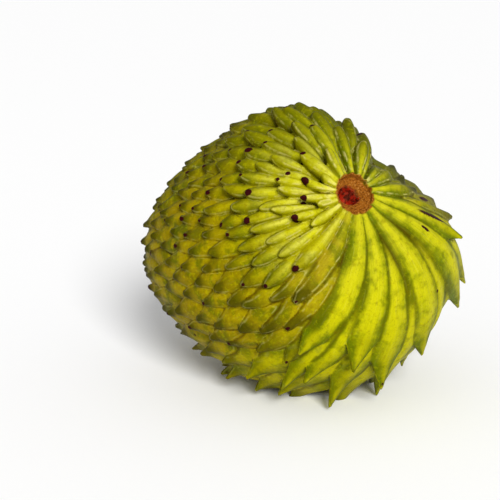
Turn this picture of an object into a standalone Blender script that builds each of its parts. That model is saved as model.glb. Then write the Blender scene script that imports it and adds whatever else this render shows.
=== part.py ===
"""Whole soursop fruit lying on its side.

A lumpy, lopsided body carries 286 overlapping lobes (the areoles of the
skin).  The lobes leave the corky stem scar as long radiating petals.  On the
upper side they shorten into blunt fingers and then into pointed scales; on the
wide side they stay long, smooth ribs whose tips hook outwards.  They converge
again on the blossom end.  The body and the lobes are unioned into one closed
skin.

Metres, +Z up.  The fruit rests on a small flat spot in the plane z = 0.
"""
import math

import bmesh
import bpy
import numpy as np

MM = 0.001

# Body: an ellipsoid with soft lumps (azimuth, elevation, gain, sharpness).
# Azimuth 0 looks along -Y and 90 along +X.
SEMI_AXES = (61.0 * MM, 69.0 * MM, 53.0 * MM)
LUMPS = (
    (-96, 77, 0.205, 4),        # raised top shoulder
    (28, 41, -0.185, 11),       # fold beside the stem end
    (-161, -10, 0.035, 4),      # blossom end
    (-120, 45, -0.12, 5),       # flattened upper flank
    (-55, -65, 0.12, 3),        # full underside
    (5, -30, 0.02, 4),          # long lower side
    (-122, -32, -0.03, 4),      # slightly hollow lower flank
    (48, 62, -0.11, 14),        # low shoulder behind the fold
    (38, -28, -0.11, 12),       # flattened lower side
    (38, 19, 0.03, 12),         # full upper side
)
# The fold is a groove that runs from the stem end over the shoulder.
FOLD_AZIMUTH, FOLD_ELEVATION = 14, 52
FOLD_GAIN, FOLD_HALF_WIDTH, FOLD_SHARPNESS = 0.10, 0.06, 6.0
REST_HEIGHT = 57.2 * MM             # from the flat spot up to the body's centre

# Stem end.  Angles around the stem count from straight up; the scar's outline
# bulges (times around, angle of the bulge, gain) and its hole sits off centre.
STEM_AZIMUTH, STEM_ELEVATION = -32, 35
STEM_DIMPLE_GAIN, STEM_DIMPLE_SHARPNESS = 0.09, 20.0
SCAR_RADIUS = 8.2 * MM
SCAR_BULGES = ((1, math.radians(165), 0.03), (2, math.radians(165), 0.08))
SCAR_HOLE_RADIUS = 4.4 * MM
SCAR_HOLE_SHIFT = 1.4 * MM
SCAR_HOLE_SIDE = math.radians(80)
SCAR_HOLE_DEPTH = 7.0 * MM
SCAR_RELIEF = 4.2 * MM              # height of the corky ring over the core
SCAR_EDGE_ANGLE = 0.135

# Blossom end, where the rows of lobes meet again.
BLOSSOM_AZIMUTH, BLOSSOM_ELEVATION = -164, -5

# Lobes.
LOBE_DENSITY = 240                  # lobes on the whole sphere without crowding
STEM_CROWDING = 1.5                 # extra density at the stem end
BLOSSOM_CROWDING = 1.8              # extra density at the blossom end
FIRST_LOBE = 10                     # the scar takes the place of the first ones
PETALS_AT_SCAR = 21                 # lobes that start at the rim of the scar
SHORT_SIDE = math.radians(80)       # where the petals are shortest
WIDE_SIDE = math.radians(225)       # where the lobes are long, smooth ribs
HOOK_SIDE = math.radians(214)       # where the tips hook outwards
UPPER_SIDE = math.radians(10)       # where the fingers rise most
LONG_SIDE_STRETCH = 0.7             # extra reach opposite the short side
FIRST_HOOKS = 1.0                   # smallest lattice angle of a tip on the low side
FIRST_HOOKS_SIDE = math.radians(195)
LATTICE_TURN = math.radians(120)
ROW_SPREAD = ((1, math.radians(190), 0.08), (2, math.radians(30), 0.18))
CORE_DEPTH = 4.0 * MM               # body under the lobes
GOLDEN_ANGLE = math.pi * (3.0 - math.sqrt(5.0))
SEED = 3

# Mesh.
RINGS_PER_LOBE = 30
POINTS_PER_RING = 20
VOXEL = 1.0 * MM
TRIANGLES = 12000

SKIN_COLOR = (0.245, 0.245, 0.012, 1.0)
SKIN_ROUGHNESS = 0.5


def direction(azimuth, elevation):
    """Unit vector for an azimuth and an elevation in degrees."""
    a = math.radians(azimuth)
    e = math.radians(elevation)
    return np.array([math.sin(a) * math.cos(e), -math.cos(a) * math.cos(e), math.sin(e)])


STEM = direction(STEM_AZIMUTH, STEM_ELEVATION)
BLOSSOM = direction(BLOSSOM_AZIMUTH, BLOSSOM_ELEVATION)
UPWARD = np.array([0.0, 0.0, 1.0]) - STEM * STEM[2]
UPWARD = UPWARD / np.linalg.norm(UPWARD)
SIDEWAYS = np.cross(STEM, UPWARD)
BLOSSOM_POLAR = math.acos(BLOSSOM @ STEM)
BLOSSOM_AROUND = math.atan2(BLOSSOM @ SIDEWAYS, BLOSSOM @ UPWARD)
LATTICE_SHIFT = np.array([math.cos(BLOSSOM_AROUND), math.sin(BLOSSOM_AROUND)])
LATTICE_SHIFT = LATTICE_SHIFT / math.tan(BLOSSOM_POLAR / 2.0)
FOLD = direction(FOLD_AZIMUTH, FOLD_ELEVATION)
FOLD_SIDE = np.cross(STEM, FOLD) / np.linalg.norm(np.cross(STEM, FOLD))


def smoothstep(low, high, value):
    """0 below low, 1 above high, smooth in between."""
    t = np.clip((value - low) / (high - low), 0.0, 1.0)
    return t * t * (3.0 - 2.0 * t)


def body_radius(unit):
    """Distance from the centre to the crests of the lobes along unit vectors."""
    ellipsoid = 1.0 / np.sqrt(((unit / np.array(SEMI_AXES)) ** 2).sum(-1))
    factor = 1.0 - STEM_DIMPLE_GAIN * np.exp(STEM_DIMPLE_SHARPNESS * (unit @ STEM - 1.0))
    for azimuth, elevation, gain, sharpness in LUMPS:
        factor = factor + gain * np.exp(sharpness * (unit @ direction(azimuth, elevation) - 1.0))
    fold = np.exp(-(unit @ FOLD_SIDE / FOLD_HALF_WIDTH) ** 2)
    off_scar = smoothstep(0.0, 0.12, 1.0 - unit @ STEM)
    fold = fold * np.exp(FOLD_SHARPNESS * (unit @ FOLD - 1.0)) * off_scar
    return ellipsoid * (factor - FOLD_GAIN * fold)


def about_stem(polar, around):
    """Unit vectors at polar angles from the stem and angles around it."""
    ring = np.cos(around)[..., None] * UPWARD + np.sin(around)[..., None] * SIDEWAYS
    return np.cos(polar)[..., None] * STEM + np.sin(polar)[..., None] * ring


def scar_outline(around):
    """Radius of the scar at angles around the stem, over its mean radius."""
    return 1.0 + sum(gain * np.cos(k * (around - peak)) for k, peak, gain in SCAR_BULGES)


def scar_reach(polar, around):
    """Distances from the middle of the scar and of its hole, each over its radius."""
    distance = polar * body_radius(STEM)
    ahead = distance * np.cos(around - SCAR_HOLE_SIDE) - SCAR_HOLE_SHIFT
    aside = distance * np.sin(around - SCAR_HOLE_SIDE)
    outline = SCAR_RADIUS * scar_outline(around)
    return distance / outline, np.hypot(ahead, aside) / SCAR_HOLE_RADIUS


def lattice_direction(u, phi):
    """Unit vectors for lattice coordinates.

    The lattice is a sphere whose poles are the stem and the blossom end; the
    plane that it is projected on is shifted so that the blossom end sits off
    the point opposite the stem.
    """
    unshifted = np.stack([np.cos(phi), np.sin(phi)], -1) / np.tan(u / 2.0)[..., None]
    plane = unshifted + LATTICE_SHIFT
    return about_stem(2.0 * np.arctan2(1.0, np.linalg.norm(plane, axis=-1)),
                      np.arctan2(plane[..., 1], plane[..., 0]))


def crest_point(u, phi):
    """Points of the crest surface for lattice coordinates."""
    unit = lattice_direction(u, phi)
    return body_radius(unit)[..., None] * unit


def crest_frame(u, phi):
    """Point, outward normal, sideways vector and width per radian along a row."""
    step = 1e-3
    point = crest_point(u, phi)
    along = crest_point(u + step, phi) - crest_point(u - step, phi)
    across = (crest_point(u, phi + step) - crest_point(u, phi - step)) / (2.0 * step)
    width = np.linalg.norm(across, axis=-1)
    normal = np.cross(along, across)
    normal = normal / np.linalg.norm(normal, axis=-1, keepdims=True)
    normal = normal * np.sign((normal * point).sum(-1, keepdims=True))
    forward = along / np.linalg.norm(along, axis=-1, keepdims=True)
    return point, normal, np.cross(normal, forward), width


def areole_lattice():
    """Tip, row, width, local spread and length of every lobe, in lattice angles.

    A golden-angle spiral whose density grows towards the stem.  Lobes are long
    and narrow near the stem and nearly as wide as long far from it.
    """
    grid = np.linspace(0.0, math.pi, 2000)
    crowding = 1.0 + STEM_CROWDING * np.exp(-(grid / 0.7) ** 2)
    crowding = crowding + BLOSSOM_CROWDING * np.exp(-((math.pi - grid) / 0.4) ** 2)
    density = LOBE_DENSITY / 2.0 * crowding * np.sin(grid)
    steps = (density[1:] + density[:-1]) / 2.0 * np.diff(grid)
    count = np.concatenate([[0.0], np.cumsum(steps)])
    index = np.arange(FIRST_LOBE, int(count[-1]) - 1)
    u = np.interp(index + 0.5, count, grid)
    turn = (index * GOLDEN_ANGLE + LATTICE_TURN) % (2.0 * math.pi)
    area = 4.0 * math.pi / (LOBE_DENSITY * np.interp(u, grid, crowding))
    slender = 1.2 + 2.6 * np.exp(-(u / 0.85) ** 2.5)
    spread = 1.0 + sum(gain * np.cos(k * (turn - peak)) for k, peak, gain in ROW_SPREAD)
    phi = turn + sum(gain / k * np.sin(k * (turn - peak)) for k, peak, gain in ROW_SPREAD)
    width = np.sqrt(area / slender) / np.sin(u) * spread
    long_side = (1.0 - np.cos(phi - SHORT_SIDE)) / 2.0
    stretch = 1.0 + LONG_SIDE_STRETCH * long_side * np.exp(-(u / 1.2) ** 2)
    length = np.sqrt(area * slender) * stretch
    tip = u * stretch + 0.6 * length * (u / math.pi) ** 3
    low_side = smoothstep(0.6, 0.95, (1.0 + np.cos(phi - FIRST_HOOKS_SIDE)) / 2.0)
    tip = np.hypot(tip, FIRST_HOOKS * low_side * (1.0 - u / math.pi))
    return np.minimum(tip, math.pi - 0.04), phi, width, spread, length


def lobe_kind(tip, phi):
    """How far a lobe is on the upper side, a blunt finger, and a hooked rib."""
    upper = (1.0 + math.cos(phi - UPPER_SIDE)) / 2.0
    wide = (1.0 + math.cos(phi - WIDE_SIDE)) / 2.0
    finger = math.exp(-(tip / (1.05 + 0.35 * upper)) ** 5) * (1.0 - smoothstep(0.5, 0.68, wide))
    hooked = (1.0 + math.cos(phi - HOOK_SIDE)) / 2.0
    hook = smoothstep(0.78, 0.90, hooked) * math.exp(-(tip / 1.9) ** 3)
    return upper, finger, hook


def lobe_profile(kind, petal, to_tip, visible, tip_width, random):
    """Half height of a lobe and height of its centre line over the crests."""
    upper, finger, hook = kind
    bulk = (0.31 + 0.13 * finger + 0.05 * hook) * min(1.25 * tip_width, 12.0 * MM)
    nose = np.minimum(1.0, to_tip / (0.15 * visible) + 0.4 - 0.2 * hook)
    half_height = bulk * (0.3 + 0.7 * lobe_outline(kind, to_tip, visible)) * nose + 0.4 * MM
    rise = 1.0 - np.minimum(1.0, to_tip / (1.7 * visible))
    lift = (1.7 + (1.3 + 2.8 * upper) * finger - 1.3 * hook) * MM * random.normal(1.0, 0.2)
    curl = (0.5 + 1.8 * (1.0 - finger) + 11.5 * hook) * MM * random.normal(1.0, 0.2)
    climb = (0.5 + 0.1 * finger - 0.3 * hook) * bulk + lift
    height = -1.15 * bulk + climb * rise ** (1.4 + 0.5 * finger)
    height = height + curl * np.exp(-to_tip / ((0.22 + 0.03 * hook) * visible))
    from_base = to_tip[0] - to_tip
    if petal:
        return half_height, height + 0.8 * bulk * np.exp(-from_base / (7.0 * MM))
    buried = 1.0 - smoothstep(0.0, 0.4, from_base / to_tip[0])
    return half_height, height - (0.7 - 0.4 * hook) * bulk * buried


def lobe_outline(kind, to_tip, visible):
    """Share of its full width that a lobe has, seen from above."""
    _, finger, _ = kind
    toward = np.minimum(1.0, to_tip / (visible * (0.85 - 0.35 * finger)))
    blunt = np.sqrt(1.0 - (1.0 - toward) ** 2)
    pointed = 1.0 - (1.0 - toward) ** 1.4
    return finger * blunt + (1.0 - finger) * pointed


def lobe_rings(rank, tip, phi, width, spread, length, random):
    """Cross-section rings of one lobe, from its buried base to its tip."""
    petal = rank < PETALS_AT_SCAR
    kind = lobe_kind(tip, phi)
    _, finger, hook = kind
    random.uniform(size=3)              # three draws that set only the lobe's colouring
    tip = tip + random.normal(0.0, 0.10) * length
    start = SCAR_EDGE_ANGLE * scar_outline(phi)
    if not petal:
        start = max(SCAR_EDGE_ANGLE + 0.12, tip - (1.9 + 0.4 * hook) * length)
    along = 1.0 - (1.0 - np.linspace(0.0, 1.0, RINGS_PER_LOBE)) ** 2
    u = start + (tip - start) * along
    lean = random.normal(0.0, 0.14 + 0.10 * finger) * width
    point, normal, sideways, per_radian = crest_frame(u, phi + lean * along ** 2)
    steps = np.linalg.norm(np.diff(point, axis=0), axis=1)
    to_tip = np.concatenate([np.cumsum(steps[::-1])[::-1], [0.0]])
    visible = to_tip[0] * min(1.0, length / (tip - start))

    tip_width = min(width * per_radian[-1], 22.0 * MM)
    share = width
    if petal:
        even_share = 2.0 * math.pi / PETALS_AT_SCAR * spread
        share = even_share + (width - even_share) * along
    full = (1.35 - 0.20 * finger + 0.15 * hook) * random.normal(1.0, 0.09)
    full = full * np.minimum(share * per_radian, 1.07 * tip_width)
    toward = np.minimum(1.0, to_tip / (visible * (0.85 - 0.35 * finger)))
    stub = (1.3 - 0.6 * hook) * (1.0 - finger) * MM
    half_width = 0.5 * full * lobe_outline(kind, to_tip, visible) + stub * (1.0 - toward)
    half_height, height = lobe_profile(kind, petal, to_tip, visible, tip_width, random)

    angle = np.linspace(0.0, 2.0 * math.pi, POINTS_PER_RING, endpoint=False)
    keel = 1.0 + 0.65 * (1.0 - finger) + 0.15 * hook
    out = np.sign(np.cos(angle)) * np.abs(np.cos(angle)) ** keel
    up = height[:, None] + half_height[:, None] * np.sin(angle)
    return (point[:, None, :] + sideways[:, None, :] * (half_width[:, None] * out)[..., None]
            + normal[:, None, :] * up[..., None])


def core_rings():
    """Rings of the body under the lobes, with the stem scar and its funnel."""
    share = np.linspace(0.0, 1.0, 102)[1:-1]
    polar = math.pi * (0.25 * share + 0.75 * share ** 2.2)
    around = np.linspace(0.0, 2.0 * math.pi, 120, endpoint=False)
    polar, around = np.meshgrid(polar, around, indexing="ij")
    unit = about_stem(polar, around)
    on_scar, in_hole = scar_reach(polar, around)
    ring = 1.0 - smoothstep(0.92, 1.06, on_scar)
    hole = SCAR_HOLE_DEPTH * (1.0 - np.minimum(in_hole, 1.0) ** 2) ** 0.6
    depth = CORE_DEPTH - SCAR_RELIEF * ring + hole
    from_blossom = np.arccos(np.clip(unit @ BLOSSOM, -1.0, 1.0))
    depth = depth - 0.7 * CORE_DEPTH * (1.0 - smoothstep(0.15, 0.55, from_blossom))
    return unit * (body_radius(unit) - depth)[..., None]


def add_tube(bm, rings):
    """Skin a stack of rings and close both ends."""
    rows = [[bm.verts.new(point) for point in ring] for ring in rings]
    for low, high in zip(rows, rows[1:]):
        for j in range(len(low)):
            k = (j + 1) % len(low)
            bm.faces.new((low[j], low[k], high[k], high[j]))
    bm.faces.new(rows[0][::-1])
    bm.faces.new(rows[-1])


def raw_fruit():
    """Body and lobes as overlapping closed shells."""
    random = np.random.default_rng(SEED)
    bm = bmesh.new()
    add_tube(bm, core_rings())
    for rank, lobe in enumerate(zip(*areole_lattice())):
        add_tube(bm, lobe_rings(rank, *lobe, random))
    bmesh.ops.recalc_face_normals(bm, faces=bm.faces)
    mesh = bpy.data.meshes.new("raw_fruit")
    bm.to_mesh(mesh)
    bm.free()
    return bpy.data.objects.new("raw_fruit", mesh)


def baked(obj):
    """Mesh of an object with its modifiers applied."""
    bpy.context.view_layer.update()
    graph = bpy.context.evaluated_depsgraph_get()
    return bpy.data.meshes.new_from_object(obj.evaluated_get(graph))


def union_shells(obj):
    """Fuse the shells into one skin and thin its triangles out."""
    bpy.context.collection.objects.link(obj)
    remesh = obj.modifiers.new("fuse", "REMESH")
    remesh.mode = "VOXEL"
    remesh.voxel_size = VOXEL
    smooth = obj.modifiers.new("smooth", "SMOOTH")
    smooth.factor = 0.5
    smooth.iterations = 1
    dense = baked(obj)
    thin = obj.modifiers.new("thin", "DECIMATE")
    thin.ratio = TRIANGLES / (2.0 * len(dense.polygons))
    mesh = baked(obj)
    bpy.data.objects.remove(obj)
    return mesh


def cut_rest_spot(mesh):
    """Flatten the underside a little so that the fruit lies still."""
    bm = bmesh.new()
    bm.from_mesh(mesh)
    geometry = bm.verts[:] + bm.edges[:] + bm.faces[:]
    cut = bmesh.ops.bisect_plane(bm, geom=geometry, plane_co=(0.0, 0.0, -REST_HEIGHT),
                                 plane_no=(0.0, 0.0, -1.0), clear_outer=True)
    rim = [item for item in cut["geom_cut"] if isinstance(item, bmesh.types.BMEdge)]
    bmesh.ops.holes_fill(bm, edges=rim, sides=0)
    bmesh.ops.triangulate(bm, faces=bm.faces)
    bmesh.ops.recalc_face_normals(bm, faces=bm.faces)
    points = np.array([v.co for v in bm.verts])
    middle = (points.min(0) + points.max(0)) / 2.0
    bmesh.ops.translate(bm, verts=bm.verts, vec=(-middle[0], -middle[1], REST_HEIGHT))
    bm.to_mesh(mesh)
    bm.free()


def skin_material():
    """Olive-green skin."""
    material = bpy.data.materials.new("soursop_skin")
    material.use_nodes = True
    shader = material.node_tree.nodes["Principled BSDF"]
    shader.inputs["Base Color"].default_value = SKIN_COLOR
    shader.inputs["Roughness"].default_value = SKIN_ROUGHNESS
    return material


def build_soursop():
    """The fruit as one named object."""
    mesh = union_shells(raw_fruit())
    cut_rest_spot(mesh)
    mesh.name = "soursop"
    mesh.materials.append(skin_material())
    bpy.context.collection.objects.link(bpy.data.objects.new("soursop", mesh))


for existing in list(bpy.data.objects):
    bpy.data.objects.remove(existing)
build_soursop()
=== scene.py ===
"""The looks of a whole soursop lying on its side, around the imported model."""

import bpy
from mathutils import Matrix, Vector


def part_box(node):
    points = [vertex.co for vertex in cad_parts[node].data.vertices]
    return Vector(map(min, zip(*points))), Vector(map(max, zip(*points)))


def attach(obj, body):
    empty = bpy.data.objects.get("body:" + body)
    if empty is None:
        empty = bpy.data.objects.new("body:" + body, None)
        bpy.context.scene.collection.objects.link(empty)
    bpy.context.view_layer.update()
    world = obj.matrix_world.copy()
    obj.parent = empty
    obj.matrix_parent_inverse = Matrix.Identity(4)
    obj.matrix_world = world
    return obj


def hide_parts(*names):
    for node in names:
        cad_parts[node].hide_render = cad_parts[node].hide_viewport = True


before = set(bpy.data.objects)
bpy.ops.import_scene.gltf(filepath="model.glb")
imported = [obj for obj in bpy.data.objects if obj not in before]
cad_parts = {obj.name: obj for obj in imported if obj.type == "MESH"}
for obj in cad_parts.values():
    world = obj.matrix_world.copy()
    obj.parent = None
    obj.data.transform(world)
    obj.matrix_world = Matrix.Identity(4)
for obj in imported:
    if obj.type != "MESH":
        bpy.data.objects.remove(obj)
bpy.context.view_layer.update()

import math

import bmesh
import bpy
import numpy as np
from mathutils import Matrix, Vector

MM = 0.001

# Body, about its own centre (azimuth 0 looks along -Y and 90 along +X).
SEMI_AXES = (61.0 * MM, 69.0 * MM, 53.0 * MM)
LUMPS = (
    (-96, 77, 0.205, 4),        # raised top shoulder
    (28, 41, -0.185, 11),       # fold beside the stem end
    (-161, -10, 0.035, 4),      # blossom end
    (-120, 45, -0.12, 5),       # flattened upper flank
    (-55, -65, 0.12, 3),        # full underside
    (5, -30, 0.02, 4),          # long lower side
    (-122, -32, -0.03, 4),      # slightly hollow lower flank
    (48, 62, -0.11, 14),        # low shoulder behind the fold
    (38, -28, -0.11, 12),       # flattened lower side
    (38, 19, 0.03, 12),         # full upper side
)
FOLD_AZIMUTH, FOLD_ELEVATION = 14, 52
FOLD_GAIN, FOLD_HALF_WIDTH, FOLD_SHARPNESS = 0.10, 0.06, 6.0
BODY_CENTRE_IN_BOX = (0.5012, 0.4879, 0.4665)

# Stem end.
STEM_AZIMUTH, STEM_ELEVATION = -32, 35
STEM_DIMPLE_GAIN, STEM_DIMPLE_SHARPNESS = 0.09, 20.0
SCAR_RADIUS = 8.2 * MM
SCAR_BULGES = ((1, math.radians(165), 0.03), (2, math.radians(165), 0.08))
SCAR_HOLE_RADIUS = 4.4 * MM
SCAR_HOLE_SHIFT = 1.4 * MM
SCAR_HOLE_SIDE = math.radians(80)
SCAR_HOLE_DEPTH = 7.0 * MM
SCAR_RELIEF = 4.2 * MM              # height of the corky ring over the core
SCAR_EDGE_ANGLE = 0.135

# Blossom end, where the rows of lobes meet again.
BLOSSOM_AZIMUTH, BLOSSOM_ELEVATION = -164, -5

# Lobes. Angles are those of the lattice, in radians from straight up around the stem.
LOBE_DENSITY = 240
STEM_CROWDING = 1.5
BLOSSOM_CROWDING = 1.8
FIRST_LOBE = 10
PETALS_AT_SCAR = 21
SHORT_SIDE = math.radians(80)
WIDE_SIDE = math.radians(225)
HOOK_SIDE = math.radians(214)      # where the tips hook outwards
UPPER_SIDE = math.radians(10)
LONG_SIDE_STRETCH = 0.7
FIRST_HOOKS = 1.0
FIRST_HOOKS_SIDE = math.radians(195)
LATTICE_TURN = math.radians(120)
SEED = 3
ROW_SPREAD = ((1, math.radians(190), 0.08), (2, math.radians(30), 0.18))
WIDEST_TIP = 22.0 * MM
BULK_LIMIT = 12.0 * MM              # most that 1.25 tip widths count for in the thickness
CORE_DEPTH = 4.0 * MM               # body under the lobes
GOLDEN_ANGLE = math.pi * (3.0 - math.sqrt(5.0))

# Mesh.
LATTICE_SAMPLES = 2000
CORE_RINGS, CORE_POINTS = 200, 200
RINGS_PER_LOBE = 40
POINTS_PER_RING = 28
VOXEL = 0.5 * MM
TRIANGLES = 190000
SOFTENING = 1                       # rounds of averaging between vertices

# Limits of the fields kept at the vertices.
TIP_MARGIN = 0.3 * MM               # how far within its outline a lobe's very tip counts
STEP_UP = 0.3 * MM                  # least rise to an edge that hangs over a point
FARTHEST_EDGE = 4.0 * MM
NO_CAP = 3.0                        # cap radii from a withered point that count as far

# Studio and camera.
SURROUND = 0.46
KEY_AZIMUTH, KEY_ELEVATION = -42, 29
KEY_STRENGTH = 3.8
KEY_SOFTNESS = math.radians(22)
FLOOR_SIDE = 30.0
FLOOR_COLOR = (0.97, 0.97, 0.97)
CAMERA_AZIMUTH, CAMERA_ELEVATION = -55, 14
CAMERA_DISTANCE = 0.55
CAMERA_LENS = 90
CAMERA_ASIDE = -22.2 * MM


def direction(azimuth, elevation):
    """Unit vector for an azimuth and an elevation in degrees."""
    a = math.radians(azimuth)
    e = math.radians(elevation)
    return np.array([math.sin(a) * math.cos(e), -math.cos(a) * math.cos(e), math.sin(e)])


STEM = direction(STEM_AZIMUTH, STEM_ELEVATION)
BLOSSOM = direction(BLOSSOM_AZIMUTH, BLOSSOM_ELEVATION)
UPWARD = np.array([0.0, 0.0, 1.0]) - STEM * STEM[2]
UPWARD = UPWARD / np.linalg.norm(UPWARD)
SIDEWAYS = np.cross(STEM, UPWARD)
BLOSSOM_POLAR = math.acos(BLOSSOM @ STEM)
BLOSSOM_AROUND = math.atan2(BLOSSOM @ SIDEWAYS, BLOSSOM @ UPWARD)
LATTICE_SHIFT = np.array([math.cos(BLOSSOM_AROUND), math.sin(BLOSSOM_AROUND)])
LATTICE_SHIFT = LATTICE_SHIFT / math.tan(BLOSSOM_POLAR / 2.0)
FOLD = direction(FOLD_AZIMUTH, FOLD_ELEVATION)
FOLD_SIDE = np.cross(STEM, FOLD) / np.linalg.norm(np.cross(STEM, FOLD))


def smoothstep(low, high, value):
    """0 below low, 1 above high, smooth in between."""
    t = np.clip((value - low) / (high - low), 0.0, 1.0)
    return t * t * (3.0 - 2.0 * t)


def body_radius(unit):
    """Distance from the centre to the crests of the lobes along unit vectors."""
    ellipsoid = 1.0 / np.sqrt(((unit / np.array(SEMI_AXES)) ** 2).sum(-1))
    factor = 1.0 - STEM_DIMPLE_GAIN * np.exp(STEM_DIMPLE_SHARPNESS * (unit @ STEM - 1.0))
    for azimuth, elevation, gain, sharpness in LUMPS:
        factor = factor + gain * np.exp(sharpness * (unit @ direction(azimuth, elevation) - 1.0))
    fold = np.exp(-(unit @ FOLD_SIDE / FOLD_HALF_WIDTH) ** 2)
    off_scar = smoothstep(0.0, 0.12, 1.0 - unit @ STEM)
    fold = fold * np.exp(FOLD_SHARPNESS * (unit @ FOLD - 1.0)) * off_scar
    return ellipsoid * (factor - FOLD_GAIN * fold)


def about_stem(polar, around):
    """Unit vectors at polar angles from the stem and angles around it."""
    ring = np.cos(around)[..., None] * UPWARD + np.sin(around)[..., None] * SIDEWAYS
    return np.cos(polar)[..., None] * STEM + np.sin(polar)[..., None] * ring


def scar_outline(around):
    """Radius of the scar at angles around the stem, over its mean radius."""
    return 1.0 + sum(gain * np.cos(k * (around - peak)) for k, peak, gain in SCAR_BULGES)


def scar_reach(polar, around):
    """Distance from the scar's middle over its outline's, and from its hole's over the hole's."""
    distance = polar * body_radius(STEM)
    ahead = distance * np.cos(around - SCAR_HOLE_SIDE) - SCAR_HOLE_SHIFT
    aside = distance * np.sin(around - SCAR_HOLE_SIDE)
    outline = SCAR_RADIUS * scar_outline(around)
    return distance / outline, np.hypot(ahead, aside) / SCAR_HOLE_RADIUS


def lattice_direction(u, phi):
    """Unit vectors for lattice coordinates, whose poles are the stem and the blossom end."""
    unshifted = np.stack([np.cos(phi), np.sin(phi)], -1) / np.tan(u / 2.0)[..., None]
    plane = unshifted + LATTICE_SHIFT
    return about_stem(2.0 * np.arctan2(1.0, np.linalg.norm(plane, axis=-1)),
                      np.arctan2(plane[..., 1], plane[..., 0]))


def lattice_coordinates(unit):
    """The inverse of lattice_direction."""
    polar = np.arccos(np.clip(unit @ STEM, -1.0, 1.0))
    around = np.arctan2(unit @ SIDEWAYS, unit @ UPWARD)
    reach = 1.0 / np.tan(np.maximum(polar, 1e-4) / 2.0)
    plane = reach[..., None] * np.stack([np.cos(around), np.sin(around)], -1) - LATTICE_SHIFT
    u = 2.0 * np.arctan2(1.0, np.linalg.norm(plane, axis=-1))
    return u, np.arctan2(plane[..., 1], plane[..., 0])


def crest_point(u, phi):
    """Points of the crest surface for lattice coordinates."""
    unit = lattice_direction(u, phi)
    return body_radius(unit)[..., None] * unit


def crest_frame(u, phi):
    """Point, outward normal, sideways vector and width per radian along a row."""
    step = 1e-3
    point = crest_point(u, phi)
    along = crest_point(u + step, phi) - crest_point(u - step, phi)
    across = (crest_point(u, phi + step) - crest_point(u, phi - step)) / (2.0 * step)
    width = np.linalg.norm(across, axis=-1)
    normal = np.cross(along, across)
    normal = normal / np.linalg.norm(normal, axis=-1, keepdims=True)
    normal = normal * np.sign((normal * point).sum(-1, keepdims=True))
    forward = along / np.linalg.norm(along, axis=-1, keepdims=True)
    return point, normal, np.cross(normal, forward), width


def areole_lattice():
    """Tip, row, width, local spread and length of every lobe, in lattice angles.

    A golden-angle spiral whose density grows towards the stem.  Lobes are long
    and narrow near the stem and nearly as wide as long far from it.
    """
    grid = np.linspace(0.0, math.pi, LATTICE_SAMPLES)
    crowding = 1.0 + STEM_CROWDING * np.exp(-(grid / 0.7) ** 2)
    crowding = crowding + BLOSSOM_CROWDING * np.exp(-((math.pi - grid) / 0.4) ** 2)
    density = LOBE_DENSITY / 2.0 * crowding * np.sin(grid)
    steps = (density[1:] + density[:-1]) / 2.0 * np.diff(grid)
    count = np.concatenate([[0.0], np.cumsum(steps)])
    index = np.arange(FIRST_LOBE, int(count[-1]) - 1)
    u = np.interp(index + 0.5, count, grid)
    turn = (index * GOLDEN_ANGLE + LATTICE_TURN) % (2.0 * math.pi)
    area = 4.0 * math.pi / (LOBE_DENSITY * np.interp(u, grid, crowding))
    slender = 1.2 + 2.6 * np.exp(-(u / 0.85) ** 2.5)
    spread = 1.0 + sum(gain * np.cos(k * (turn - peak)) for k, peak, gain in ROW_SPREAD)
    phi = turn + sum(gain / k * np.sin(k * (turn - peak)) for k, peak, gain in ROW_SPREAD)
    width = np.sqrt(area / slender) / np.sin(u) * spread
    long_side = (1.0 - np.cos(phi - SHORT_SIDE)) / 2.0
    stretch = 1.0 + LONG_SIDE_STRETCH * long_side * np.exp(-(u / 1.2) ** 2)
    length = np.sqrt(area * slender) * stretch
    tip = u * stretch + 0.6 * length * (u / math.pi) ** 3
    low_side = smoothstep(0.6, 0.95, (1.0 + np.cos(phi - FIRST_HOOKS_SIDE)) / 2.0)
    tip = np.hypot(tip, FIRST_HOOKS * low_side * (1.0 - u / math.pi))
    return np.minimum(tip, math.pi - 0.04), phi, width, spread, length


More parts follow.
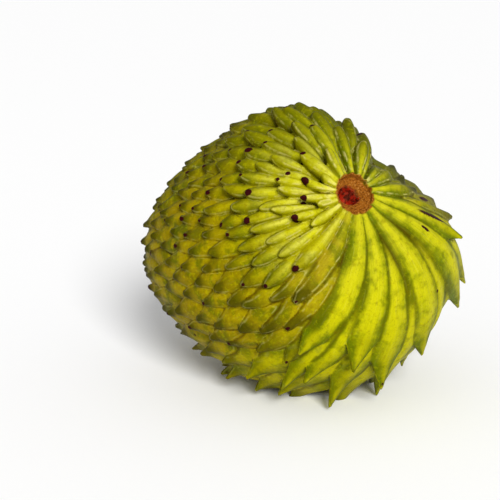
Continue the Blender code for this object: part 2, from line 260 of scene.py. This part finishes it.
class Lobe:
    """One areole: a swept, buried strip that rises to a free tip."""

    def __init__(self, rank, tip, phi, width, spread, length, random):
        wide = (1.0 + math.cos(phi - WIDE_SIDE)) / 2.0
        self.petal = rank < PETALS_AT_SCAR
        self.even_share = 2.0 * math.pi / PETALS_AT_SCAR * spread
        self.upper = (1.0 + math.cos(phi - UPPER_SIDE)) / 2.0
        reach = 1.05 + 0.35 * self.upper
        self.finger = math.exp(-(tip / reach) ** 5) * (1.0 - smoothstep(0.5, 0.68, wide))
        hooked = (1.0 + math.cos(phi - HOOK_SIDE)) / 2.0
        self.hook = smoothstep(0.78, 0.90, hooked) * math.exp(-(tip / 1.9) ** 3)
        self.tone = random.uniform()
        size = (1.0 + 0.4 * self.finger) * random.uniform(0.5, 1.1) * MM
        self.cap_radius = size if random.uniform() < 0.25 + 0.4 * self.upper else 0.0
        tip = tip + random.normal(0.0, 0.10) * length
        start = SCAR_EDGE_ANGLE * scar_outline(phi)
        if not self.petal:
            start = max(SCAR_EDGE_ANGLE + 0.12, tip - (1.9 + 0.4 * self.hook) * length)
        along = 1.0 - (1.0 - np.linspace(0.0, 1.0, RINGS_PER_LOBE)) ** 2
        self.u = start + (tip - start) * along
        lean = 0.14 + 0.10 * self.finger
        self.row = phi + random.normal(0.0, lean) * width * along ** 2
        frames = crest_frame(self.u, self.row)
        self.point, self.normal, self.sideways, self.per_radian = frames
        steps = np.linalg.norm(np.diff(self.point, axis=0), axis=1)
        self.to_tip = np.concatenate([np.cumsum(steps[::-1])[::-1], [0.0]])
        self.visible = self.to_tip[0] * min(1.0, length / (tip - start))
        self.shape(width, along, random)

    def shape(self, width, along, random):
        """Half width, half height and height of the centre line, from base to tip."""
        finger, hook = self.finger, self.hook
        tip_width = min(width * self.per_radian[-1], WIDEST_TIP)
        share = width
        if self.petal:
            share = self.even_share + (width - self.even_share) * along
        full = (1.35 - 0.20 * finger + 0.15 * hook) * random.normal(1.0, 0.09)
        full = full * np.minimum(share * self.per_radian, 1.07 * tip_width)
        taper = self.visible * (0.85 - 0.35 * finger)
        toward = np.minimum(1.0, self.to_tip / taper)
        blunt = np.sqrt(1.0 - (1.0 - toward) ** 2)
        pointed = 1.0 - (1.0 - toward) ** 1.4
        outline = finger * blunt + (1.0 - finger) * pointed
        stub = (1.3 - 0.6 * hook) * (1.0 - finger) * MM
        self.half_width = 0.5 * full * outline + stub * (1.0 - toward)

        bulk = (0.31 + 0.13 * finger + 0.05 * hook) * min(1.25 * tip_width, BULK_LIMIT)
        nose = np.minimum(1.0, self.to_tip / (0.15 * self.visible) + 0.4 - 0.2 * hook)
        self.half_height = bulk * (0.3 + 0.7 * outline) * nose + 0.4 * MM
        rise = 1.0 - np.minimum(1.0, self.to_tip / (1.7 * self.visible))
        lift = (1.7 + (1.3 + 2.8 * self.upper) * finger - 1.3 * hook) * MM * random.normal(1.0, 0.2)
        curl = (0.5 + 1.8 * (1.0 - finger) + 11.5 * hook) * MM * random.normal(1.0, 0.2)
        climb = (0.5 + 0.1 * finger - 0.3 * hook) * bulk + lift
        self.height = -1.15 * bulk + climb * rise ** (1.4 + 0.5 * finger)
        reach = (0.22 + 0.03 * hook) * self.visible
        self.height = self.height + curl * np.exp(-self.to_tip / reach)
        from_base = self.to_tip[0] - self.to_tip
        if self.petal:
            self.height = self.height + 0.8 * bulk * np.exp(-from_base / (7.0 * MM))
        else:
            buried = 1.0 - smoothstep(0.0, 0.4, from_base / self.to_tip[0])
            self.height = self.height - (0.7 - 0.4 * hook) * bulk * buried
        self.keel = 1.0 + 0.65 * (1.0 - finger) + 0.15 * hook

    def rings(self):
        """Cross-section rings from the buried base to the tip."""
        angle = np.linspace(0.0, 2.0 * math.pi, POINTS_PER_RING, endpoint=False)
        out = np.sign(np.cos(angle)) * np.abs(np.cos(angle)) ** self.keel
        up = self.height[:, None] + self.half_height[:, None] * np.sin(angle)
        out = self.half_width[:, None] * out
        return (self.point[:, None, :] + self.sideways[:, None, :] * out[..., None]
                + self.normal[:, None, :] * up[..., None])

    def cover(self, u, phi):
        """Where points lie on the lobe, seen from outside.

        Gives the height of its upper face over the crests, the distance to its
        tip, the place across it, the height of its edge, and how far the point
        lies within its outline and beyond it.
        """
        behind = np.interp(u, self.u, self.to_tip)
        turn = (phi - np.interp(u, self.u, self.row) + math.pi) % (2.0 * math.pi) - math.pi
        aside = turn * np.interp(u, self.u, self.per_radian)
        half_width = np.interp(u, self.u, self.half_width)
        across = aside / np.maximum(half_width, 0.01 * MM)
        arch = np.sqrt(np.clip(1.0 - np.abs(across) ** (2.0 / self.keel), 0.0, 1.0))
        edge = np.interp(u, self.u, self.height)
        height = edge + np.interp(u, self.u, self.half_height) * arch
        outside = (np.abs(across) > 1.0) | (u > self.u[-1]) | (u < self.u[0])
        past_tip = np.maximum(u - self.u[-1], 0.0) * np.linalg.norm(self.point[-1])
        beyond = np.hypot(np.maximum(np.abs(aside) - half_width, 0.0), past_tip)
        beyond = np.where(u < self.u[0], 1.0, beyond)
        within = np.minimum(half_width - np.abs(aside), behind + TIP_MARGIN)
        return np.where(outside, -1.0, height), behind, across, aside, edge, within, beyond


def all_lobes():
    """Every lobe of the fruit, in the order of the spiral."""
    random = np.random.default_rng(SEED)
    return [Lobe(rank, *lobe, random) for rank, lobe in enumerate(zip(*areole_lattice()))]


def core_rings():
    """Rings of the body under the lobes, with the stem scar and its funnel."""
    share = np.linspace(0.0, 1.0, CORE_RINGS + 2)[1:-1]
    polar = math.pi * (0.25 * share + 0.75 * share ** 2.2)
    around = np.linspace(0.0, 2.0 * math.pi, CORE_POINTS, endpoint=False)
    polar, around = np.meshgrid(polar, around, indexing="ij")
    unit = about_stem(polar, around)
    on_scar, in_hole = scar_reach(polar, around)
    ring = 1.0 - smoothstep(0.92, 1.06, on_scar)
    hole = SCAR_HOLE_DEPTH * (1.0 - np.minimum(in_hole, 1.0) ** 2) ** 0.6
    depth = CORE_DEPTH - SCAR_RELIEF * ring + hole
    from_blossom = np.arccos(np.clip(unit @ BLOSSOM, -1.0, 1.0))
    depth = depth - 0.7 * CORE_DEPTH * (1.0 - smoothstep(0.15, 0.55, from_blossom))
    return unit * (body_radius(unit) - depth)[..., None]


def add_tube(bm, rings):
    """Skin a stack of rings and close both ends."""
    rows = [[bm.verts.new(point) for point in ring] for ring in rings]
    for low, high in zip(rows, rows[1:]):
        for j in range(len(low)):
            k = (j + 1) % len(low)
            bm.faces.new((low[j], low[k], high[k], high[j]))
    bm.faces.new(rows[0][::-1])
    bm.faces.new(rows[-1])


def raw_shells(lobes):
    """Body and lobes as overlapping closed shells."""
    bm = bmesh.new()
    add_tube(bm, core_rings())
    for lobe in lobes:
        add_tube(bm, lobe.rings())
    bmesh.ops.recalc_face_normals(bm, faces=bm.faces)
    mesh = bpy.data.meshes.new("raw_shells")
    bm.to_mesh(mesh)
    bm.free()
    return bpy.data.objects.new("raw_shells", mesh)


def baked(obj):
    """Mesh of an object with its modifiers applied."""
    bpy.context.view_layer.update()
    graph = bpy.context.evaluated_depsgraph_get()
    return bpy.data.meshes.new_from_object(obj.evaluated_get(graph))


def fused_skin(lobes):
    """The shells as one skin, thinned out to the triangle budget."""
    obj = raw_shells(lobes)
    bpy.context.collection.objects.link(obj)
    remesh = obj.modifiers.new("fuse", "REMESH")
    remesh.mode = "VOXEL"
    remesh.voxel_size = VOXEL
    smooth = obj.modifiers.new("smooth", "SMOOTH")
    smooth.factor = 0.5
    smooth.iterations = 2
    dense = baked(obj)
    obj.modifiers.clear()
    obj.data = dense
    thin = obj.modifiers.new("thin", "DECIMATE")
    thin.ratio = min(1.0, TRIANGLES / (2.0 * len(dense.polygons)))
    mesh = baked(obj)
    bpy.data.objects.remove(obj)
    return mesh


def cut_rest_spot(mesh):
    """Flatten the underside where the fruit lies."""
    bm = bmesh.new()
    bm.from_mesh(mesh)
    geometry = bm.verts[:] + bm.edges[:] + bm.faces[:]
    cut = bmesh.ops.bisect_plane(bm, geom=geometry, plane_no=(0.0, 0.0, -1.0), clear_outer=True,
                                 plane_co=(0.0, 0.0, -BODY_CENTRE[2]))
    rim = [item for item in cut["geom_cut"] if isinstance(item, bmesh.types.BMEdge)]
    bmesh.ops.holes_fill(bm, edges=rim, sides=0)
    bmesh.ops.triangulate(bm, faces=bm.faces)
    bm.to_mesh(mesh)
    bm.free()


def lobe_attributes(mesh, lobes):
    """Say at every vertex which lobe is on top, where on it, and how near the next one is."""
    points = np.empty(len(mesh.vertices) * 3, dtype=np.float32)
    mesh.vertices.foreach_get("co", points)
    points = points.reshape(-1, 3).astype(float)
    unit = points / np.linalg.norm(points, axis=1, keepdims=True)
    u, phi = lattice_coordinates(unit)
    top = np.full(len(points), -CORE_DEPTH)
    values = dict.fromkeys(("aside", "tone", "finger", "hook"), np.zeros(len(points)))
    values.update(dict.fromkeys(("along", "within"), np.ones(len(points))))
    values.update(second=top - 1.0, cap=np.full(len(points), NO_CAP))
    covers = []
    for lobe in lobes:
        height, behind, across, aside, edge, within, beyond = lobe.cover(u, phi)
        covers.append((edge.astype(np.float32), beyond.astype(np.float32)))
        above = height > top
        values["second"] = np.where(above, top, np.maximum(values["second"], height))
        radius = max(lobe.cap_radius, 0.1 * MM)
        cap = np.hypot((behind - 1.2 * radius) / 1.2, aside) / radius
        own = {"along": behind / lobe.visible, "aside": np.abs(across), "tone": lobe.tone,
               "finger": lobe.finger, "hook": lobe.hook, "cap": cap, "within": within}
        for name, value in own.items():
            values[name] = np.where(above, value, values[name])
        top = np.where(above, height, top)
    overhang = np.full(len(points), FARTHEST_EDGE)
    for edge, beyond in covers:
        higher = edge > top + STEP_UP
        overhang = np.where(higher, np.minimum(overhang, beyond), overhang)
    within = np.minimum(values["within"], top - values.pop("second"))
    values["within"] = np.clip(within, 0.0, FARTHEST_EDGE) / MM
    values["overhang"] = overhang / MM
    values["along"] = np.clip(values["along"], 0.0, 2.0)
    values["aside"] = np.clip(values["aside"], 0.0, 1.0)
    values["cap"] = np.clip(values["cap"], 0.0, NO_CAP)
    from_blossom = np.arccos(np.clip(unit @ BLOSSOM, -1.0, 1.0))
    values["hollow"] = np.clip(-top / MM, 0.0, 4.0) * smoothstep(0.3, 0.7, from_blossom)
    values["near"] = np.exp(-(u / 0.6) ** 2)
    values = {name: softened(mesh, value) for name, value in values.items()}
    polar = np.arccos(np.clip(unit @ STEM, -1.0, 1.0))
    values["scar"], values["hole"] = scar_reach(polar, np.arctan2(unit @ SIDEWAYS, unit @ UPWARD))
    return values, np.stack([np.cos(phi), np.sin(phi), u], -1)


def softened(mesh, values):
    """Values at the vertices averaged with their neighbours', to soften steps between lobes."""
    ends = np.empty(len(mesh.edges) * 2, dtype=np.int32)
    mesh.edges.foreach_get("vertices", ends)
    first, second = ends[0::2], ends[1::2]
    count = len(mesh.vertices)
    neighbours = np.bincount(ends, minlength=count)
    for _ in range(SOFTENING):
        total = np.bincount(first, values[second], count) + np.bincount(second, values[first], count)
        values = 0.5 * values + 0.5 * total / neighbours
    return values


def store(mesh, name, values):
    """Keep one number for every vertex under a name."""
    layer = mesh.attributes.new(name, "FLOAT", "POINT")
    layer.data.foreach_set("value", np.asarray(values, dtype=np.float32))


class Wiring:
    """A small hand for wiring the nodes of one material."""

    def __init__(self, name):
        self.material = bpy.data.materials.new(name)
        self.material.use_nodes = True
        self.nodes = self.material.node_tree.nodes
        self.links = self.material.node_tree.links
        self.shader = self.nodes["Principled BSDF"]

    def feed(self, socket, value):
        """Link a socket to another one, or set its value."""
        if isinstance(value, bpy.types.NodeSocket):
            self.links.new(value, socket)
        elif isinstance(value, tuple) and len(value) == 3 and socket.type == "RGBA":
            socket.default_value = (*value, 1.0)
        else:
            socket.default_value = value

    def attribute(self, name, output="Fac"):
        """A value kept at the vertices."""
        node = self.nodes.new("ShaderNodeAttribute")
        node.attribute_name = name
        return node.outputs[output]

    def math(self, operation, first, second=0.0, third=0.0):
        """Result of an operation on numbers."""
        node = self.nodes.new("ShaderNodeMath")
        node.operation = operation
        for socket, value in zip(node.inputs, (first, second, third)):
            self.feed(socket, value)
        return node.outputs[0]

    def vector(self, operation, first, second, output=0):
        """Output of a vector operation on two values."""
        node = self.nodes.new("ShaderNodeVectorMath")
        node.operation = operation
        self.feed(node.inputs[0], first)
        self.feed(node.inputs[1], second)
        return node.outputs[output]

    def step(self, value, low, high, to_low=0.0, to_high=1.0):
        """Smooth step of a value from low to high."""
        node = self.nodes.new("ShaderNodeMapRange")
        node.interpolation_type = "SMOOTHSTEP"
        for socket, number in zip(node.inputs, (value, low, high, to_low, to_high)):
            self.feed(socket, number)
        return node.outputs[0]

    def mix(self, factor, first, second):
        """The first colour at factor 0 and the second at factor 1."""
        node = self.nodes.new("ShaderNodeMix")
        node.data_type = "RGBA"
        node.clamp_factor = True
        self.feed(node.inputs["Factor"], factor)
        self.feed(node.inputs[6], first)
        self.feed(node.inputs[7], second)
        return node.outputs[2]

    def noise(self, vector, scale, detail=3.0, roughness=0.55):
        """Cloudy noise around 0.5."""
        node = self.nodes.new("ShaderNodeTexNoise")
        self.feed(node.inputs["Vector"], vector)
        self.feed(node.inputs["Scale"], scale)
        self.feed(node.inputs["Detail"], detail)
        self.feed(node.inputs["Roughness"], roughness)
        return node.outputs[0]

    def cells(self, vector, scale):
        """Distance to the nearest of many scattered points."""
        node = self.nodes.new("ShaderNodeTexVoronoi")
        self.feed(node.inputs["Vector"], vector)
        self.feed(node.inputs["Scale"], scale)
        return node.outputs["Distance"]

    def bump(self, height, distance, normal=None):
        """Normal tilted by a height, on top of an earlier normal."""
        node = self.nodes.new("ShaderNodeBump")
        self.feed(node.inputs["Height"], height)
        self.feed(node.inputs["Distance"], distance)
        if normal is not None:
            self.links.new(normal, node.inputs["Normal"])
        return node.outputs[0]


def srgb(red, green, blue):
    """Linear colour of a display colour given from 0 to 255."""
    return tuple(((c / 255 + 0.055) / 1.055) ** 2.4 if c > 10 else c / 255 / 12.92
                 for c in (red, green, blue))


# Skin colours.
OLIVE = srgb(143, 126, 0)
OLIVE_DARK = srgb(114, 94, 0)
OLIVE_GREEN = srgb(86, 90, 0)
LIME = srgb(154, 150, 0)
LEAF = srgb(86, 104, 0)
YELLOW = srgb(180, 177, 0)
PALE_LIME = srgb(208, 203, 84)
CREAM = srgb(226, 212, 130)
DARK_GREEN = srgb(44, 44, 0)
# Brown of seams and specks, also used as painted shade in seams and hollows.
SEAM_AND_SHADE_BROWN = srgb(52, 26, 0)
MAROON = srgb(44, 6, 10)
CORK = srgb(162, 96, 26)
CORK_PALE = srgb(206, 148, 76)
CORK_DARK = srgb(104, 54, 12)
HOLE_RED = srgb(186, 32, 10)
HOLE_DARK = srgb(70, 8, 2)
GLOSS_TINT = (1.0, 0.96, 0.55)

# Dark slashes on the petals: row angle, distance from the stem, length, width.
SLASHES = (
    (math.radians(268), 0.66, 12.0 * MM, 2.4 * MM),
    (math.radians(252), 0.52, 18.0 * MM, 3.0 * MM),
    (math.radians(240), 0.46, 5.0 * MM, 2.0 * MM),
)


def slash_mask(w, position, roughness, phi, u, length, width):
    """1 on a narrow, ragged mark that follows the row of lobes."""
    point, _, across, _ = crest_frame(np.array([u]), np.array([phi]))
    ahead = crest_point(np.array([u + 0.05]), np.array([phi]))[0] - point[0]
    ahead = ahead / np.linalg.norm(ahead)
    offset = w.vector("SUBTRACT", position, tuple(point[0]))
    lengthwise = w.math("DIVIDE", w.vector("DOT_PRODUCT", offset, tuple(ahead), "Value"), length / 2)
    sidewise = w.math("DIVIDE", w.vector("DOT_PRODUCT", offset, tuple(across[0]), "Value"), width / 2)
    sidewise = w.math("ADD", sidewise, w.math("MULTIPLY_ADD", roughness, 1.6, -0.8))
    reach = w.math("ADD", w.math("MULTIPLY", lengthwise, lengthwise),
                   w.math("MULTIPLY", sidewise, sidewise))
    return w.step(reach, 1.2, 0.5)


class SkinFields:
    """Fields of the vertices and noises that the layers of the skin share."""

    def __init__(self, w):
        self.position = w.nodes.new("ShaderNodeTexCoord").outputs["Object"]
        self.centred = w.vector("SUBTRACT", self.position, tuple(BODY_CENTRE))
        flow = w.attribute("flow", "Vector")
        self.along, self.aside = w.attribute("along"), w.attribute("aside")
        self.within, self.overhang = w.attribute("within"), w.attribute("overhang")
        self.tone, self.finger = w.attribute("tone"), w.attribute("finger")
        self.hook, self.near = w.attribute("hook"), w.attribute("near")
        self.cap, self.hollow = w.attribute("cap"), w.attribute("hollow")

        self.broad = w.noise(self.position, 45.0, 3.0)
        self.patchy = w.noise(self.position, 130.0, 3.0)
        self.medium = w.noise(self.position, 260.0, 4.0)
        self.mottle = w.noise(self.position, 620.0, 3.0, 0.6)
        self.fine = w.noise(self.position, 1500.0, 3.0, 0.7)
        self.streaks = w.noise(w.vector("MULTIPLY", flow, (22.0, 22.0, 3.0)), 1.0, 4.0, 0.6)
        self.fibres = w.noise(w.vector("MULTIPLY", flow, (80.0, 80.0, 9.0)), 1.0, 3.0, 0.6)

        row = w.nodes.new("ShaderNodeSeparateXYZ")
        w.feed(row.inputs[0], flow)
        self.row_up, self.row_left, self.from_stem = row.outputs
        self.leftward = w.math("MULTIPLY", w.step(self.row_left, 0.1, 0.8),
                               w.step(self.from_stem, 0.95, 0.45))


def ground_color(w, f):
    """Olive scales, lime fingers, yellow-crested petals with leaf-green flanks; the crests are partly
    painted highlight, and the flanks, the top and the right side partly painted shade.
    """
    clear_of_seam = w.math("MULTIPLY", w.step(f.within, 0.1, 1.0), w.step(f.overhang, 0.0, 1.5))
    wander = w.math("MULTIPLY_ADD", f.streaks, 0.4, w.math("MULTIPLY_ADD", f.patchy, 0.8, -0.6))
    # Yellow crests: partly the skin's own colour, partly painted highlight. They are kept away from
    # seams and overhung edges, which stay darker as painted shade.
    crest = w.math("MULTIPLY", w.step(w.math("ADD", f.aside, wander), 0.75, 0.0), clear_of_seam)
    scale = w.mix(w.step(f.patchy, 0.42, 0.66), OLIVE, OLIVE_GREEN)
    scale = w.mix(w.math("MULTIPLY", f.tone, 0.5), scale, OLIVE_DARK)
    petal = w.mix(crest, LEAF, YELLOW)
    blunt = w.mix(crest, w.mix(f.leftward, OLIVE_GREEN, LIME), w.mix(f.leftward, LIME, YELLOW))
    color = w.mix(f.finger, scale, blunt)
    color = w.mix(w.math("MAXIMUM", f.hook, w.math("SUBTRACT", f.near, f.leftward)), color, petal)

    # Pale lime patches on the finger crests left of the scar and near the stem: partly pale skin,
    # partly painted highlight.
    pale_patch_and_highlight = w.math("MULTIPLY", w.math("MULTIPLY", f.finger, f.leftward), w.step(f.patchy, 0.40, 0.60))
    pale_patch_and_highlight = w.math("MULTIPLY", w.math("MAXIMUM", pale_patch_and_highlight, w.math("MULTIPLY", f.near, 0.12)), crest)
    color = w.mix(w.math("MULTIPLY", pale_patch_and_highlight, 0.85), color, PALE_LIME)

    # Painted shade: the upper side away from the stem, strongest on the right, darkened towards olive
    # green.
    upper = w.step(w.math("MULTIPLY_ADD", f.row_left, -0.3, f.row_up), -0.1, 0.7)
    painted_shade = w.math("MULTIPLY", upper, w.step(f.from_stem, 0.1, 0.6))
    painted_shade = w.math("MULTIPLY", painted_shade, w.step(f.row_left, 0.2, -0.5, 0.5, 1.0))
    return w.mix(painted_shade, color, OLIVE_GREEN)


def mottled(w, f, color):
    """Streaks along the rows, mottling and pores."""
    pale = w.math("MULTIPLY", w.step(f.fibres, 0.54, 0.74), w.math("MULTIPLY_ADD", f.near, 0.10, 0.03))
    color = w.mix(pale, color, CREAM)
    layers = (
        (f.fibres, 0.50, 0.34, 0.14, OLIVE_GREEN),
        (f.medium, 0.50, 0.70, 0.40, OLIVE_GREEN),
        (f.mottle, 0.54, 0.70, 0.35, OLIVE_DARK),
        (f.mottle, 0.46, 0.34, 0.22, YELLOW),
        (f.fine, 0.56, 0.70, 0.25, DARK_GREEN),
    )
    for noise, low, high, amount, tint in layers:
        color = w.mix(w.math("MULTIPLY", w.step(noise, low, high), amount), color, tint)
    return color


def pointed(w, f, color):
    """Dark green point of each scale, fading towards the stem: partly the scale's own colour, partly
    painted shade on the raised tip.
    """
    fade = w.math("MULTIPLY_ADD", w.math("MULTIPLY", f.aside, f.aside), 0.3, f.along)
    fade = w.math("ADD", fade, w.math("MULTIPLY_ADD", f.medium, 0.5, -0.25))
    patch = w.math("SUBTRACT", 0.85, w.math("MULTIPLY", w.math("MAXIMUM", f.finger, f.hook), 0.65))
    return w.mix(w.math("MULTIPLY", w.step(fade, 0.66, 0.22), patch), color, DARK_GREEN)


def seamed(w, f, color):
    """Pale rim of each lobe, and the dark seam under it: partly dark skin, partly painted shade under
    overhanging edges; also painted shade in the hollows between lobes.
    """
    rim = w.math("MULTIPLY", w.step(f.within, 1.5, 1.1), w.step(f.within, 0.6, 1.0))
    rim = w.math("MULTIPLY", rim, w.step(f.medium, 0.42, 0.64))
    rim = w.math("MULTIPLY", rim, w.math("MULTIPLY_ADD", f.near, 0.40, 0.12))
    color = w.mix(w.math("MULTIPLY", rim, w.step(f.hook, 0.9, 0.1)), color, CREAM)
    # Dark seams: partly the brown skin between lobes, partly painted shade where a higher lobe's edge
    # hangs over.
    seam_and_shade = w.math("MAXIMUM", w.step(f.within, 0.8, 0.1), w.step(f.overhang, 1.2, 0.2))
    smooth = w.math("MAXIMUM", f.hook, f.leftward)
    seam_and_shade = w.math("MULTIPLY", seam_and_shade, w.math("SUBTRACT", 0.70, w.math("MULTIPLY", smooth, 0.45)))
    color = w.mix(seam_and_shade, color, SEAM_AND_SHADE_BROWN)
    # Painted shade: brown in deep hollows between lobes, away from the blossom end.
    return w.mix(w.math("MULTIPLY", w.step(f.hollow, 0.4, 2.6), 0.6), color, SEAM_AND_SHADE_BROWN)


def marked(w, f, color):
    """Withered points, slashes and specks."""
    cap = w.math("ADD", f.cap, w.math("MULTIPLY_ADD", f.medium, 0.8, -0.4))
    color = w.mix(w.step(cap, 1.12, 0.85), color, MAROON)
    for slash in SLASHES:
        color = w.mix(slash_mask(w, f.centred, f.fine, *slash), color, MAROON)
    specks = w.step(w.cells(f.position, 95.0), 0.085, 0.05)
    specks = w.math("MULTIPLY", specks, w.step(f.broad, 0.5, 0.56))
    return w.mix(specks, color, SEAM_AND_SHADE_BROWN)


def scar_masks(w, f):
    """1 on the corky scar, and 1 in its wet funnel."""
    ragged = w.math("MULTIPLY_ADD", f.medium, 0.3, -0.15)
    on_scar = w.step(w.math("ADD", w.attribute("scar"), ragged), 1.03, 0.93)
    in_hole = w.step(w.math("ADD", w.attribute("hole"), ragged), 1.10, 0.92)
    return on_scar, in_hole


def scarred(w, f, color, on_scar, in_hole):
    """Granular cork around the red funnel."""
    cork = w.mix(w.step(f.fine, 0.36, 0.52), CORK_DARK, CORK)
    cork = w.mix(w.step(f.fine, 0.56, 0.70), cork, CORK_PALE)
    funnel = w.mix(w.step(f.mottle, 0.40, 0.60), HOLE_DARK, HOLE_RED)
    return w.mix(in_hole, w.mix(on_scar, color, cork), funnel)


def feed_finish(w, f, on_scar, in_hole):
    """Waxy skin, dull cork and a wet funnel, with their relief."""
    rough = w.math("MULTIPLY_ADD", f.medium, 0.3, 0.30)
    rough = w.math("ADD", rough, w.math("MULTIPLY", on_scar, 0.35))
    rough = w.math("SUBTRACT", rough, w.math("MULTIPLY", in_hole, 0.65))
    w.feed(w.shader.inputs["Roughness"], rough)
    w.feed(w.shader.inputs["Specular IOR Level"], w.math("MULTIPLY_ADD", in_hole, 0.5, 0.03))
    w.feed(w.shader.inputs["Specular Tint"], GLOSS_TINT)

    normal = w.bump(w.math("MULTIPLY", f.fibres, w.math("ADD", f.hook, f.near)), 0.20 * MM)
    normal = w.bump(f.fine, 0.10 * MM, normal)
    normal = w.bump(f.mottle, 0.20 * MM, normal)
    normal = w.bump(f.medium, 0.30 * MM, normal)
    normal = w.bump(w.math("MULTIPLY", f.fine, on_scar), 0.9 * MM, normal)
    normal = w.bump(w.math("MULTIPLY", f.mottle, in_hole), 0.7 * MM, normal)
    w.feed(w.shader.inputs["Normal"], normal)


def skin_material():
    """Waxy green skin, coloured by lobe, with the corky scar."""
    w = Wiring("soursop_skin")
    f = SkinFields(w)
    color = ground_color(w, f)
    for layer in (mottled, pointed, seamed, marked):
        color = layer(w, f, color)
    on_scar, in_hole = scar_masks(w, f)
    w.feed(w.shader.inputs["Base Color"], scarred(w, f, color, on_scar, in_hole))
    feed_finish(w, f, on_scar, in_hole)
    return w.material


def build_soursop():
    """The whole skin as one mesh that stands for the CAD fruit."""
    lobes = all_lobes()
    mesh = fused_skin(lobes)
    cut_rest_spot(mesh)
    values, flow = lobe_attributes(mesh, lobes)
    for name, numbers in values.items():
        store(mesh, name, numbers)
    layer = mesh.attributes.new("flow", "FLOAT_VECTOR", "POINT")
    layer.data.foreach_set("vector", flow.astype(np.float32).ravel())
    mesh.materials.append(skin_material())
    mesh.transform(Matrix.Translation(BODY_CENTRE))
    mesh.shade_smooth()
    skin = bpy.data.objects.new("soursop_skin", mesh)
    bpy.context.collection.objects.link(skin)
    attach(skin, "root")
    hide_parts("soursop")


def flat_material(name, color, roughness):
    """Material of one plain colour."""
    material = bpy.data.materials.new(name)
    material.use_nodes = True
    shader = material.node_tree.nodes["Principled BSDF"]
    shader.inputs["Base Color"].default_value = (*color, 1.0)
    shader.inputs["Roughness"].default_value = roughness
    return material


def add_floor():
    """A pale floor, far larger than the view."""
    bpy.ops.mesh.primitive_plane_add(size=FLOOR_SIDE, location=(0.0, 0.0, 0.0))
    floor = bpy.context.object
    floor.name = "floor"
    floor.data.materials.append(flat_material("floor", FLOOR_COLOR, 0.8))


def aim(obj, location, target):
    """Place an object and turn its -Z towards a target."""
    obj.location = location
    obj.rotation_euler = (Vector(target) - Vector(location)).to_track_quat("-Z", "Y").to_euler()


def add_studio():
    """An even white surround and one broad, soft key light."""
    world = bpy.data.worlds.new("studio")
    bpy.context.scene.world = world
    world.use_nodes = True
    world.node_tree.nodes["Background"].inputs["Color"].default_value = (1.0, 1.0, 1.0, 1.0)
    world.node_tree.nodes["Background"].inputs["Strength"].default_value = SURROUND
    key = bpy.data.lights.new("key", "SUN")
    key.energy = KEY_STRENGTH
    key.angle = KEY_SOFTNESS
    obj = bpy.data.objects.new("key", key)
    bpy.context.collection.objects.link(obj)
    aim(obj, Vector(direction(KEY_AZIMUTH, KEY_ELEVATION)), (0.0, 0.0, 0.0))
    bpy.context.scene.view_settings.view_transform = "Standard"


def add_camera():
    """A camera slightly above the fruit, to one side of its stem end."""
    camera = bpy.data.objects.new("camera", bpy.data.cameras.new("camera"))
    camera.data.lens = CAMERA_LENS
    camera.data.clip_start = 0.01
    bpy.context.collection.objects.link(camera)
    target = Vector(BODY_CENTRE) + Vector(direction(CAMERA_AZIMUTH + 90, 0)) * CAMERA_ASIDE
    back = Vector(direction(CAMERA_AZIMUTH, CAMERA_ELEVATION)) * CAMERA_DISTANCE
    aim(camera, target + back, target)
    bpy.context.scene.camera = camera


low, high = (np.array(corner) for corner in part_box("soursop"))
BODY_CENTRE = low + (high - low) * np.array(BODY_CENTRE_IN_BOX)
build_soursop()
add_floor()
add_studio()
add_camera()
bpy.context.view_layer.update()
